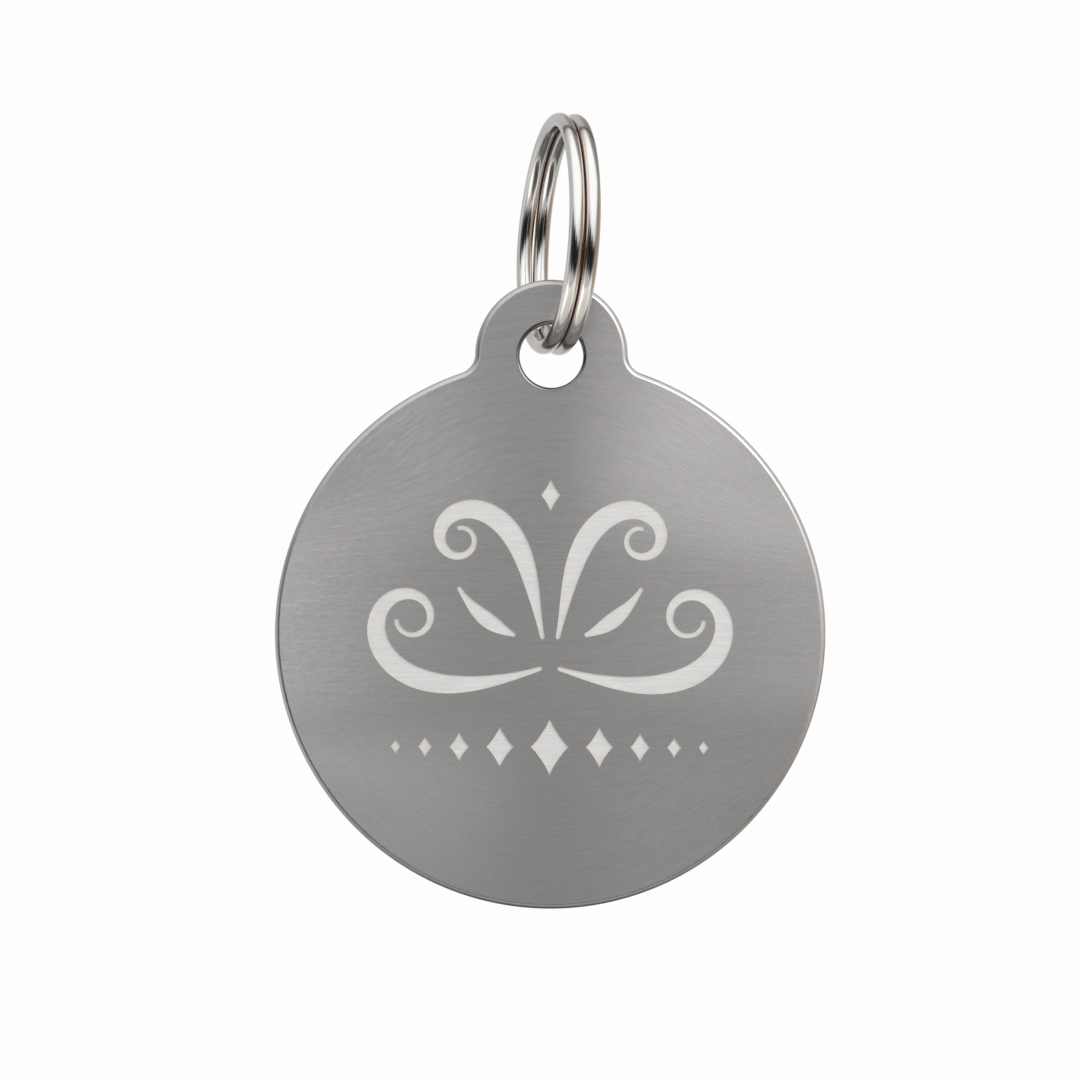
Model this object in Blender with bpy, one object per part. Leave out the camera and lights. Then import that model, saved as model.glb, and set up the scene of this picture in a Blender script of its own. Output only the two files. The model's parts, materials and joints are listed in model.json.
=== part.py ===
"""Tack ID tag: a round steel plate with an ear, hung on a split ring of two turns.

Metres, +Z up. The engraved front of the plate faces -Y. The origin is the top of
the ring's inside, between its two turns, where a strap or a hook holds the ring.
"""

import math

import bmesh
import bpy
import numpy as np
from mathutils import Matrix, Vector

MM = 0.001

# Tag plate: a disc with a round ear, blended by a fillet on each side
TAG_DIAMETER = 31.75 * MM
TAG_THICKNESS = 1.4 * MM
EAR_RADIUS = 4.4 * MM
EAR_RISE = 4.53 * MM
EAR_FILLET = 1.15 * MM
HOLE_DIAMETER = 3.67 * MM
EDGE_ROUND = 0.3 * MM

# Engraved ornament: bare metal beside it, and how deep it is cut
ORNAMENT_MARGIN = 5.4 * MM
ENGRAVING_DEPTH = 0.12 * MM

# Split ring: two turns of one round wire, with a sideways step between them
RING_OUTER_DIAMETER = 14.0 * MM
WIRE_DIAMETER = 0.9 * MM
TURN_GAP = 0.08 * MM
STEP_LENGTH = 2.5 * MM
END_GAP = 0.25 * MM

# How the ring hangs: turned about the vertical, leaning sideways, and its step's
# place, measured round from the ring's lowest point towards the back
RING_TURN = math.radians(12.8)
RING_LEAN = math.radians(3.4)
STEP_PLACE = math.radians(51.0)

# Room between the two turns of wire and the hole's edge as the tag swings
SWING_CLEARANCE = 0.38 * MM

# Facets of the round stretches, and points along the wire that measure its gap
DISC_FACETS = 132
EAR_FACETS = 32
FILLET_FACETS = 6
HOLE_FACETS = 44
STROKE_FACETS = 30
LOZENGE_SIDE_FACETS = 4
WIRE_SEGMENTS = 144
EDGE_ROUND_STEPS = 2
WIRE_ROUND_STEPS = 4
GAP_SAMPLES = 2400

# Sizes that follow from those above
TAG_RADIUS = TAG_DIAMETER / 2
HOLE_RADIUS = HOLE_DIAMETER / 2
RING_INNER_RADIUS = RING_OUTER_DIAMETER / 2 - WIRE_DIAMETER
RING_MID_RADIUS = (RING_OUTER_DIAMETER - WIRE_DIAMETER) / 2
TURN_PITCH = WIRE_DIAMETER + TURN_GAP
TURNS_HALF_WIDTH = (TURN_PITCH + WIRE_DIAMETER) / 2

# Places on the plate, above the swing axis in the plate's own plane
HOLE_HEIGHT = TURNS_HALF_WIDTH + SWING_CLEARANCE - HOLE_RADIUS
DISC_HEIGHT = HOLE_HEIGHT - (TAG_RADIUS + EAR_RISE - EAR_RADIUS)
ORNAMENT_HALF_WIDTH = TAG_RADIUS - ORNAMENT_MARGIN

MERGE_DISTANCE = 0.001 * MM


def clear_scene():
    """Remove every object that is in the file."""
    for item in list(bpy.data.objects):
        bpy.data.objects.remove(item, do_unlink=True)


def new_collection(name):
    """Make a collection and link it to the scene."""
    collection = bpy.data.collections.new(name)
    bpy.context.scene.collection.children.link(collection)
    return collection


def steel(name, colour, roughness):
    """Make a bare metal material."""
    material = bpy.data.materials.new(name)
    material.use_nodes = True
    shader = material.node_tree.nodes["Principled BSDF"]
    shader.inputs["Base Color"].default_value = (*colour, 1.0)
    shader.inputs["Metallic"].default_value = 1.0
    shader.inputs["Roughness"].default_value = roughness
    return material


def arc(centre, radius, start, end, facets):
    """Points along an arc, from its start up to but not including its end."""
    angles = np.linspace(start, end, facets, endpoint=False)
    x = centre[0] + radius * np.cos(angles)
    y = centre[1] + radius * np.sin(angles)
    return list(zip(x, y))


def plate_outline():
    """The disc and the ear, blended by fillets that touch both circles."""
    ear = (0.0, HOLE_HEIGHT)
    disc = (0.0, DISC_HEIGHT)
    between = HOLE_HEIGHT - DISC_HEIGHT
    from_disc = TAG_RADIUS + EAR_FILLET
    from_ear = EAR_RADIUS + EAR_FILLET
    up = (from_disc**2 - from_ear**2 + between**2) / (2 * between)
    out = math.sqrt(from_disc**2 - up**2)
    disc_angle = math.atan2(up, out)
    ear_angle = math.atan2(up - between, out)
    left = (-out, DISC_HEIGHT + up)
    right = (out, DISC_HEIGHT + up)

    points = arc(ear, EAR_RADIUS, ear_angle, math.pi - ear_angle, EAR_FACETS)
    points += arc(left, EAR_FILLET, -ear_angle, -disc_angle, FILLET_FACETS)
    points += arc(disc, TAG_RADIUS, math.pi - disc_angle, math.tau + disc_angle, DISC_FACETS)
    points += arc(right, EAR_FILLET, math.pi + disc_angle, math.pi + ear_angle, FILLET_FACETS)
    return points


def hole_outline():
    """The round hole in the ear."""
    return arc((0.0, HOLE_HEIGHT), HOLE_RADIUS, 0.0, math.tau, HOLE_FACETS)


def scroll_stroke(start, heading, length, bend, curl, swell):
    """Outline of a pen stroke that curls ever tighter and is thickest before its middle.

    Lengths are shares of the ornament's half width, and angles are in degrees.
    """
    hairline = 0.02
    thickest = math.log(0.5) / math.log(0.42)
    step = length / STROKE_FACETS
    place = np.array(start)
    left_side = []
    right_side = []
    for index in range(STROKE_FACETS + 1):
        way = index / STROKE_FACETS
        angle = math.radians(heading + bend * way + curl * way**3)
        normal = np.array((-math.sin(angle), math.cos(angle)))
        width = hairline + (swell - hairline) * math.sin(math.pi * way**thickest) ** 2
        left_side.append(tuple(place + normal * width / 2))
        right_side.append(tuple(place - normal * width / 2))
        halfway = (index + 0.5) / STROKE_FACETS
        angle = math.radians(heading + bend * halfway + curl * halfway**3)
        place = place + step * np.array((math.cos(angle), math.sin(angle)))
    return left_side + right_side[::-1]


def lozenge(centre, half_width, half_height):
    """Outline of a lozenge with hollowed sides."""
    hollow = 0.75
    tips = np.array(((half_width, 0), (0, half_height), (-half_width, 0), (0, -half_height)))
    points = []
    for tip, following in zip(tips, np.roll(tips, -1, axis=0)):
        middle = (tip + following) / 2 * hollow
        for index in range(LOZENGE_SIDE_FACETS):
            way = index / LOZENGE_SIDE_FACETS
            point = (1 - way) ** 2 * tip + 2 * way * (1 - way) * middle + way**2 * following
            points.append(tuple(point + np.array(centre)))
    return points


def lozenge_row(height):
    """A row of lozenges that shrink from the middle outwards, as its right half."""
    shrink = 0.72
    spacing = 0.095
    half_height = 0.157
    half_width = 0.104
    across = 0.0
    row = []
    for _ in range(5):
        row.append(lozenge((across, height), half_width, half_height))
        across += half_width * (1 + shrink) + spacing
        half_height *= shrink
        half_width *= shrink
    return row


def ornament_outlines():
    """Two scrolls and a leaf on each side, a lozenge on top and a row of them below."""
    half = [
        scroll_stroke((0.043, -0.19), -18, 1.86, 40, 430, 0.114),
        scroll_stroke((0.040, -0.03), 78, 1.57, 10, -470, 0.114),
        scroll_stroke((0.19, -0.01), 20, 0.42, 40, 0, 0.081),
    ]
    row = lozenge_row(-0.624)
    middle = [lozenge((0.0, 0.762), 0.052, 0.09), row[0]]
    half += row[1:]
    mirrored = [[(-x, y) for x, y in outline] for outline in half]
    return middle + half + mirrored


def flat_curve(name, outlines, half_thickness, collection):
    """A 2D curve of closed outlines, filled on both faces."""
    curve = bpy.data.curves.new(name, "CURVE")
    curve.dimensions = "2D"
    curve.fill_mode = "BOTH"
    curve.extrude = half_thickness
    for outline in outlines:
        spline = curve.splines.new("POLY")
        spline.points.add(len(outline) - 1)
        for point, (x, y) in zip(spline.points, outline):
            point.co = (x, y, 0.0, 1.0)
        spline.use_cyclic_u = True
    item = bpy.data.objects.new(name, curve)
    collection.objects.link(item)
    return item


def curve_to_mesh(curve_object, collection):
    """Replace a curve object with a welded mesh object of the same name and place."""
    bpy.context.view_layer.update()
    name = curve_object.name
    evaluated = curve_object.evaluated_get(bpy.context.evaluated_depsgraph_get())
    mesh = bpy.data.meshes.new_from_object(evaluated)
    welded = bmesh.new()
    welded.from_mesh(mesh)
    bmesh.ops.remove_doubles(welded, verts=welded.verts, dist=MERGE_DISTANCE)
    bmesh.ops.recalc_face_normals(welded, faces=welded.faces)
    welded.to_mesh(mesh)
    welded.free()
    place = curve_object.matrix_world.copy()
    bpy.data.objects.remove(curve_object, do_unlink=True)
    item = bpy.data.objects.new(name, mesh)
    item.matrix_world = place
    collection.objects.link(item)
    return item


def shade_round(item):
    """Shade the round stretches smooth and keep the edges sharp."""
    item.data.shade_smooth()
    item.data.set_sharp_from_angle(angle=math.radians(35))


def swing_axis_place():
    """The middle of the two turns at the ring's lowest point."""
    down = Vector((0.0, 0.0, -(RING_INNER_RADIUS + RING_MID_RADIUS)))
    return Matrix.Rotation(RING_LEAN, 3, "Y") @ down


def make_engraving_cutter(parent, cutters):
    """The ornament as a solid that straddles the plate's front face."""
    outlines = []
    for outline in ornament_outlines():
        placed = [(x * ORNAMENT_HALF_WIDTH, DISC_HEIGHT + y * ORNAMENT_HALF_WIDTH) for x, y in outline]
        outlines.append(placed)
    curve = flat_curve("engraving_cutter", outlines, ENGRAVING_DEPTH, cutters)
    curve.matrix_world = parent @ Matrix.Translation((0.0, 0.0, TAG_THICKNESS / 2))
    cutter = curve_to_mesh(curve, cutters)
    cutter.hide_render = True
    cutter.display_type = "WIRE"
    return cutter


def make_tag_plate(axis, parts, cutters):
    """The stamped plate, standing in the XZ plane with its origin on the swing axis."""
    upright = Matrix.Translation(axis.location) @ Matrix.Rotation(math.pi / 2, 4, "X")
    edge_round = min(EDGE_ROUND, 0.45 * TAG_THICKNESS)
    outlines = [plate_outline(), hole_outline()]
    curve = flat_curve("tag_plate", outlines, TAG_THICKNESS / 2 - edge_round, parts)
    curve.data.bevel_depth = edge_round
    curve.data.bevel_resolution = EDGE_ROUND_STEPS
    curve.data.offset = -edge_round
    curve.matrix_world = upright
    plate = curve_to_mesh(curve, parts)
    plate.data.materials.clear()
    plate.data.materials.append(steel("brushed_stainless_steel", (0.42, 0.41, 0.4), 0.38))
    shade_round(plate)
    engraving = plate.modifiers.new("engraving", "BOOLEAN")
    engraving.operation = "DIFFERENCE"
    engraving.solver = "EXACT"
    engraving.object = make_engraving_cutter(upright, cutters)
    plate.parent = axis
    plate.matrix_parent_inverse = axis.matrix_world.inverted()
    return plate


def wire_path(segments):
    """The wire's centre line: one turn, the step sideways, then the second turn."""
    step = STEP_LENGTH / RING_MID_RADIUS
    end_gap = END_GAP / RING_MID_RADIUS
    sweep = 2 * math.tau - step - 2 * end_gap
    points = []
    for index in range(segments + 1):
        travel = end_gap + sweep * index / segments
        way = min(max((travel - (math.tau - step)) / step, 0.0), 1.0)
        sideways = way * way * (3 - 2 * way) - 0.5
        angle = STEP_PLACE + step / 2 + travel
        y = RING_MID_RADIUS * math.sin(angle)
        z = -RING_MID_RADIUS * math.cos(angle)
        points.append((TURN_PITCH * sideways, y, z))
    return points


def least_turn_gap():
    """Least gap between stretches of the wire that lie over a quarter turn apart along it."""
    line = np.array(wire_path(GAP_SAMPLES))
    quarter_turn = GAP_SAMPLES // 8
    nearest = min(
        np.linalg.norm(line[index + quarter_turn:] - point, axis=1).min()
        for index, point in enumerate(line[:-quarter_turn])
    )
    return nearest - WIRE_DIAMETER


def make_split_ring(hang_frame, parts):
    """The two turns of round wire, hanging from the origin in the leaning frame."""
    points = wire_path(WIRE_SEGMENTS)
    curve = bpy.data.curves.new("split_ring", "CURVE")
    curve.dimensions = "3D"
    curve.fill_mode = "FULL"
    curve.bevel_depth = WIRE_DIAMETER / 2
    curve.bevel_resolution = WIRE_ROUND_STEPS
    curve.use_fill_caps = True
    spline = curve.splines.new("POLY")
    spline.points.add(len(points) - 1)
    for point, place in zip(spline.points, points):
        point.co = (*place, 1.0)
    spline.use_smooth = True
    curve.materials.append(steel("polished_nickel_steel", (0.66, 0.63, 0.6), 0.12))
    ring = bpy.data.objects.new("split_ring", curve)
    parts.objects.link(ring)
    ring.parent = hang_frame
    ring.location = (0.0, 0.0, -RING_INNER_RADIUS)
    ring.rotation_euler = (0.0, 0.0, RING_TURN)
    print(f"split_ring: least gap between turns {least_turn_gap() / MM:.3f} mm")
    return ring


def make_empty(name, collection):
    """An empty that carries a piece."""
    empty = bpy.data.objects.new(name, None)
    empty.empty_display_size = WIRE_DIAMETER
    collection.objects.link(empty)
    return empty


def main():
    clear_scene()
    parts = new_collection("tack_id_tag")
    cutters = new_collection("cutters")

    hang_frame = make_empty("hang_frame", parts)
    hang_frame.rotation_euler = (0.0, RING_LEAN, 0.0)
    make_split_ring(hang_frame, parts)

    swing_axis = make_empty("tag_swing_axis", parts)
    swing_axis.location = swing_axis_place()
    bpy.context.view_layer.update()
    make_tag_plate(swing_axis, parts, cutters)
    x, y, z = (value / MM for value in swing_axis.location)
    print(f"tag_swing_axis: along Y through {x:.4f}, {y:.4f}, {z:.4f} mm")
    print(f"disc centre: {(swing_axis.location.z + DISC_HEIGHT) / MM:.4f} mm high")


main()
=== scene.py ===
# %% [markdown]
# # A round tack tag on a split ring
# The object is a stamped disc of brushed stainless steel with a round ear, hung on a
# split ring of two wire turns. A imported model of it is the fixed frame, and this lesson
# dresses that frame: first the camera, then the two pieces with their finishes, then the
# stage and its light. Each step says what the real thing is and why it is made this way.

# %% Load the frame
import json
import math

import bmesh
import bpy
from mathutils import Matrix, Vector


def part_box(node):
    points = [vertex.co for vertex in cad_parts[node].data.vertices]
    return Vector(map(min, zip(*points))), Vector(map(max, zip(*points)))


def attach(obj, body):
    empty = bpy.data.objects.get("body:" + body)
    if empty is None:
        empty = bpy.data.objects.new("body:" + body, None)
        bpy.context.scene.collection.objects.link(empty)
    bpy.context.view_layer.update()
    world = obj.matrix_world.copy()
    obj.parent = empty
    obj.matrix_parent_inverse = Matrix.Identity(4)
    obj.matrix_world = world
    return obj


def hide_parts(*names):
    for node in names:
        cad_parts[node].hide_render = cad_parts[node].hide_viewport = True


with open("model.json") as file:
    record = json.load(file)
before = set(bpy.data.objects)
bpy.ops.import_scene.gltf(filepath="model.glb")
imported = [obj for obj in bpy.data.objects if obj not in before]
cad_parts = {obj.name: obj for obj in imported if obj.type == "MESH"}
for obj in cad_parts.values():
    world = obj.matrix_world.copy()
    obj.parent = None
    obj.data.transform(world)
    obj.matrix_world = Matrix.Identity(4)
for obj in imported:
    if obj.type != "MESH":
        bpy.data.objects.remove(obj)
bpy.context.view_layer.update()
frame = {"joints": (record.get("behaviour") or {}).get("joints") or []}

scene = bpy.context.scene
scene.view_settings.view_transform = "Standard"
MM = 0.001


# %% [markdown]
# The plate's box gives the disc: as wide as the box, and standing on its lowest point.
# The swing joint lies in the middle of the two turns at the ring's lowest point, so its
# place gives the ring's size and how far the ring leans. Sizes that a box can't tell, such
# as the ear's radius, are named values, in millimetres.

# %% Read the main sizes from the frame
plate_low, plate_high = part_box("tag_plate")
TAG_RADIUS = (plate_high[0] - plate_low[0]) / 2
THICKNESS = plate_high[1] - plate_low[1]
disc_centre = Vector(((plate_low[0] + plate_high[0]) / 2, 0.0, plate_low[2] + TAG_RADIUS))
swing_axis = Vector(frame["joints"][0]["pos_m"])
print(f"disc {2 * TAG_RADIUS / MM:.2f} mm across and {THICKNESS / MM:.2f} mm thick")

# %% [markdown]
# The camera looks straight at the plate from the length of a forearm away, with a long
# lens, so that the disc stays round and the ring's near wires look only a little thicker
# than the far ones. The lens follows from how many pixels the disc takes up, and the
# camera's place from where the disc's middle falls. The real tag hung a hair off the
# vertical, which is a small roll of the camera.

# %% Camera
PHOTO_SIDE = 1080
DISC_PIXELS = 549.8
DISC_MIDDLE = (550.2, 633.4)
VIEW_DISTANCE = 350 * MM
SENSOR_WIDTH = 36.0
ROLL = math.radians(0.25)


def add_object(name, data):
    """Put a new object into the scene."""
    item = bpy.data.objects.new(name, data)
    scene.collection.objects.link(item)
    return item


pixel = 2 * TAG_RADIUS / DISC_PIXELS
right = Vector((math.cos(ROLL), 0.0, math.sin(ROLL)))
up = Vector((-math.sin(ROLL), 0.0, math.cos(ROLL)))
forward = Vector((0.0, 1.0, 0.0))
across = (DISC_MIDDLE[0] - PHOTO_SIDE / 2) * pixel
down = (DISC_MIDDLE[1] - PHOTO_SIDE / 2) * pixel

lens = bpy.data.cameras.new("photo_camera")
lens.sensor_width = SENSOR_WIDTH
lens.lens = SENSOR_WIDTH * VIEW_DISTANCE / (pixel * PHOTO_SIDE)
lens.clip_start = VIEW_DISTANCE / 10
camera = add_object("photo_camera", lens)
camera.matrix_world = Matrix((right, up, -forward)).transposed().to_4x4()
camera.location = disc_centre - right * across + up * down - forward * VIEW_DISTANCE
scene.camera = camera
print(f"lens {lens.lens:.1f} mm, one pixel is {pixel / MM:.4f} mm at the plate")

# %% [markdown]
# Both the wound wire and the brushed finish follow formulas. Blender writes a formula as a
# chain of Math nodes, which is slow to read, so a small class lets a node's output stand in
# ordinary Python arithmetic: adding two of them adds a Math node.

# %% Formulas made of nodes
class Formula:
    """A node's output that can be used in arithmetic."""

    def __init__(self, tree, socket):
        self.tree = tree
        self.socket = socket

    def __add__(self, other):
        return maths("ADD", self, other)

    def __radd__(self, other):
        return maths("ADD", other, self)

    def __sub__(self, other):
        return maths("SUBTRACT", self, other)

    def __rsub__(self, other):
        return maths("SUBTRACT", other, self)

    def __mul__(self, other):
        return maths("MULTIPLY", self, other)

    def __rmul__(self, other):
        return maths("MULTIPLY", other, self)

    def __truediv__(self, other):
        return maths("DIVIDE", self, other)

    def __pow__(self, other):
        return maths("POWER", self, other)


def add_node(tree, kind, **options):
    """Add a node and set its options."""
    made = tree.nodes.new(kind)
    for option, value in options.items():
        setattr(made, option, value)
    return made


def feed(tree, socket, value):
    """Set a socket's value, or link a formula's result to it."""
    if isinstance(value, Formula):
        tree.links.new(value.socket, socket)
    else:
        socket.default_value = value


def maths(operation, *values):
    """One Math node on numbers and formulas."""
    tree = next(value.tree for value in values if isinstance(value, Formula))
    made = add_node(tree, "ShaderNodeMath", operation=operation)
    for socket, value in zip(made.inputs, values):
        feed(tree, socket, value)
    return Formula(tree, made.outputs[0])


def smooth_step(value, low, high):
    """A soft ramp from 0 at low to 1 at high."""
    tree = value.tree
    made = add_node(tree, "ShaderNodeMapRange", interpolation_type="SMOOTHSTEP")
    feed(tree, made.inputs["Value"], value)
    feed(tree, made.inputs["From Min"], low)
    feed(tree, made.inputs["From Max"], high)
    return Formula(tree, made.outputs[0])


def vector(tree, x, y, z):
    """Three numbers or formulas as one vector."""
    made = add_node(tree, "ShaderNodeCombineXYZ")
    for socket, value in zip(made.inputs, (x, y, z)):
        feed(tree, socket, value)
    return Formula(tree, made.outputs[0])


def parts_of(tree, socket):
    """A vector's three numbers."""
    made = add_node(tree, "ShaderNodeSeparateXYZ")
    tree.links.new(socket, made.inputs[0])
    return [Formula(tree, output) for output in made.outputs]


# %% [markdown]
# A Geometry Nodes tree needs an input for each size, a chain of nodes that hand the shape
# on, and a modifier that runs it. The finished shape is then turned into a plain mesh.

# %% Trees that make a shape
SAME_POINT = 0.0005 * MM


def geometry_tree(name, sizes):
    """A tree with a named input for each size. Returns the tree and its inputs as formulas."""
    tree = bpy.data.node_groups.new(name, "GeometryNodeTree")
    tree.interface.new_socket("Geometry", in_out="OUTPUT", socket_type="NodeSocketGeometry")
    for label, value in sizes.items():
        kind = "NodeSocketInt" if isinstance(value, int) else "NodeSocketFloat"
        socket = tree.interface.new_socket(label, in_out="INPUT", socket_type=kind)
        socket.default_value = value
    entry = add_node(tree, "NodeGroupInput")
    return tree, {label: Formula(tree, entry.outputs[label]) for label in sizes}


def hand_on(tree, shape, kind, inputs=None, **options):
    """Pass a shape through a node with these inputs, and return the node's shape."""
    made = add_node(tree, kind, **options)
    tree.links.new(shape, made.inputs[0])
    for label, value in (inputs or {}).items():
        feed(tree, made.inputs[label], value)
    return made.outputs[0]


def send_out(tree, shape):
    """Make a shape the tree's result."""
    tree.links.new(shape, add_node(tree, "NodeGroupOutput").inputs[0])


def end_tree(tree, shape, material):
    """Realize any instances, give the shape its material and send it out."""
    shape = hand_on(tree, shape, "GeometryNodeRealizeInstances")
    shape = hand_on(tree, shape, "GeometryNodeSetMaterial", {"Material": material})
    send_out(tree, shape)


def run_tree(name, tree, sizes):
    """Run a tree on an empty object, and return the object."""
    item = add_object(name, bpy.data.meshes.new(name))
    modifier = item.modifiers.new(name, "NODES")
    modifier.node_group = tree
    for socket in tree.interface.items_tree:
        if socket.in_out == "INPUT":
            modifier[socket.identifier] = sizes[socket.name]
    return item


def plain_mesh(item):
    """An object's evaluated shape as a new mesh."""
    bpy.context.view_layer.update()
    depsgraph = bpy.context.evaluated_depsgraph_get()
    return bpy.data.meshes.new_from_object(item.evaluated_get(depsgraph))


def make_plain(item):
    """Give an object its evaluated shape as its own mesh, and drop its modifiers."""
    mesh = plain_mesh(item)
    item.modifiers.clear()
    item.data = mesh
    return item


def close_up(item):
    """Merge doubled points and turn every face outwards."""
    shape = bmesh.new()
    shape.from_mesh(item.data)
    bmesh.ops.remove_doubles(shape, verts=shape.verts, dist=SAME_POINT)
    bmesh.ops.recalc_face_normals(shape, faces=shape.faces)
    shape.to_mesh(item.data)
    shape.free()


# %% [markdown]
# The engraver's stroke and the ring's wire are made in the same way: a row of points is put
# along a path by a formula, and a section is swept along it. A tree can also store a value on
# a shape under a name, and read it back further on, when the shape has changed.

# %% Sweeping along a path
def point_index(tree):
    """Each point's number, counted from 0."""
    return Formula(tree, add_node(tree, "GeometryNodeInputIndex").outputs[0])


def position(tree):
    """The socket with each point's place."""
    return add_node(tree, "GeometryNodeInputPosition").outputs[0]


def path_of_points(tree, count, place):
    """A curve with this many points, each put in its place."""
    line = add_node(tree, "GeometryNodeMeshLine")
    feed(tree, line.inputs["Count"], count)
    path = hand_on(tree, line.outputs[0], "GeometryNodeMeshToCurve")
    return hand_on(tree, path, "GeometryNodeSetPosition", {"Position": place})


def store(tree, shape, name, value, kind="FLOAT"):
    """Store a value on a shape's points under a name."""
    facts = {"Name": name, "Value": value}
    return hand_on(tree, shape, "GeometryNodeStoreNamedAttribute", facts, data_type=kind)


def read_back(tree, name, kind="FLOAT"):
    """Read a value that the tree stored earlier."""
    made = add_node(tree, "GeometryNodeInputNamedAttribute", data_type=kind)
    made.inputs["Name"].default_value = name
    return Formula(tree, made.outputs[0])


def sweep(tree, path, section, scale, capped):
    """Sweep a section along a path, scaled from point to point."""
    made = add_node(tree, "GeometryNodeCurveToMesh")
    tree.links.new(path, made.inputs["Curve"])
    tree.links.new(section, made.inputs["Profile Curve"])
    feed(tree, made.inputs["Scale"], scale)
    feed(tree, made.inputs["Fill Caps"], capped)
    return made.outputs[0]


# %% [markdown]
# Every finish starts the same way: a Principled shader, and coordinates that belong to the
# piece. Object coordinates move with the piece, and a Mapping node puts their zero at the
# middle of the disc and counts in millimetres, so that a pattern's sizes can be read.

# %% Helpers for finishes
def new_finish(name, metallic=1.0):
    """A material with a plain Principled shader. Returns material, tree and shader."""
    material = bpy.data.materials.new(name)
    material.use_nodes = True
    tree = material.node_tree
    shader = tree.nodes["Principled BSDF"]
    shader.inputs["Metallic"].default_value = metallic
    return material, tree, shader


def place_in_mm(tree, zero):
    """Object coordinates as three formulas, in millimetres from a point of the frame."""
    coordinates = add_node(tree, "ShaderNodeTexCoord")
    mapping = add_node(tree, "ShaderNodeMapping")
    mapping.inputs["Scale"].default_value = (1 / MM, 1 / MM, 1 / MM)
    mapping.inputs["Location"].default_value = -zero / MM
    tree.links.new(coordinates.outputs["Object"], mapping.inputs["Vector"])
    return parts_of(tree, mapping.outputs[0])


def noise(tree, place, detail=2.0):
    """Noise from 0 to 1, with one grain to each unit of place."""
    made = add_node(tree, "ShaderNodeTexNoise")
    feed(tree, made.inputs["Vector"], place)
    feed(tree, made.inputs["Scale"], 1.0)
    feed(tree, made.inputs["Detail"], detail)
    return Formula(tree, made.outputs[0])


def even_noise(tree, place, grains, detail=2.0):
    """Noise with as many grains to a millimetre in every direction."""
    x, y, z = place
    return noise(tree, vector(tree, x * grains, y * grains, z * grains), detail)


def mix_colours(tree, share, first, second):
    """A colour between two, which may be plain values or sockets."""
    made = add_node(tree, "ShaderNodeMix", data_type="RGBA")
    feed(tree, made.inputs[0], share)
    for socket, colour in zip(made.inputs[6:8], (first, second)):
        if isinstance(colour, tuple):
            socket.default_value = (*colour, 1.0)
        else:
            tree.links.new(colour, socket)
    return made.outputs[2]


def shade_between(tree, shader, dark, light, share):
    """Base colour between a dark and a light shade."""
    tree.links.new(mix_colours(tree, share, dark, light), shader.inputs["Base Color"])


def roughen_between(tree, shader, low, high, share):
    """Roughness between two values."""
    feed(tree, shader.inputs["Roughness"], low + (high - low) * share)


def add_bump(tree, shader, height, depth):
    """Relief of a depth in metres."""
    made = add_node(tree, "ShaderNodeBump")
    made.inputs["Strength"].default_value = 1.0
    made.inputs["Distance"].default_value = depth
    feed(tree, made.inputs["Height"], height)
    tree.links.new(made.outputs[0], shader.inputs["Normal"])


# %% [markdown]
# The disc's face was drawn across an abrasive belt, which leaves fine short hairlines. They
# run sideways across the middle, and above and below it the disc was turned under the belt,
# so they go over into arcs round the rim. One formula tells which hairline a point lies on:
# its height in the middle band, its distance from the centre in the arcs. Noise that changes
# fast from line to line and slowly along them draws the hairlines, which are longest in the
# middle and shorter towards the sides. Light spreads across them and not along them, so the
# shader is anisotropic, and the formula's slope is its tangent: the shine then fans out as it
# does on brushed steel, and it turns with the tag.

# %% Brushed steel of the faces
STEEL_DARK = (0.339, 0.330, 0.328)
STEEL_LIGHT = (0.426, 0.414, 0.411)
STEEL_ROUGHNESS = (0.31, 0.27)
SHINE_STRETCH = 0.86
# Shares of the radius between which the hairlines go over into arcs, and how round these get
STRAIGHT_BELOW = 0.15
ROUND_ABOVE = 0.7
MOST_ROUND = 0.96
# Grains to a millimetre, along and across the hairlines
SHORT_ALONG = 1.1
SHORT_ACROSS = 20.0
LONG_ALONG = 0.25
LONG_ACROSS = 6.0
LONGEST_IN_MIDDLE = 0.7
SHORT_SHARE = 0.7
LINE_CONTRAST = (0.28, 0.72)
LINE_DEPTH = 0.0012 * MM


def hairline_field(x, z):
    """Which hairline a point lies on, and the direction across it."""
    radius = TAG_RADIUS / MM
    away = maths("SQRT", x * x + z * z)
    height = maths("ABSOLUTE", z)
    half = maths("SIGN", z)
    turned = MOST_ROUND * smooth_step(height, STRAIGHT_BELOW * radius, ROUND_ABOVE * radius)
    line = z + turned * (half * away - z)
    across = vector(x.tree, turned * half * x / away, 0.0, 1.0 - turned + turned * height / away)
    return line, across


def brushed_steel():
    """Steel with hairlines, whose shine is stretched across them."""
    material, tree, shader = new_finish("brushed_steel_face")
    x, y, z = place_in_mm(tree, disc_centre)
    line, across = hairline_field(x, z)

    along = x * (LONGEST_IN_MIDDLE + x * x / (TAG_RADIUS / MM) ** 2)
    short = noise(tree, vector(tree, along * SHORT_ALONG, y, line * SHORT_ACROSS))
    long = noise(tree, vector(tree, x * LONG_ALONG, y, line * LONG_ACROSS))
    lines = short * SHORT_SHARE + long * (1.0 - SHORT_SHARE)
    contrast = smooth_step(lines, *LINE_CONTRAST)
    shade_between(tree, shader, STEEL_DARK, STEEL_LIGHT, contrast)
    roughen_between(tree, shader, *STEEL_ROUGHNESS, contrast)
    add_bump(tree, shader, lines, LINE_DEPTH)
    shader.inputs["Anisotropic"].default_value = SHINE_STRETCH

    to_world = add_node(tree, "ShaderNodeVectorTransform", vector_type="VECTOR")
    to_world.convert_from = "OBJECT"
    to_world.convert_to = "WORLD"
    feed(tree, to_world.inputs[0], across)
    tree.links.new(to_world.outputs[0], shader.inputs["Tangent"])
    return material


# %% [markdown]
# The stamped edges were tumbled round and bright, so they mirror whatever stands beside the
# tag. A faint relief and a few dull patches keep them from looking like glass.

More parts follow.
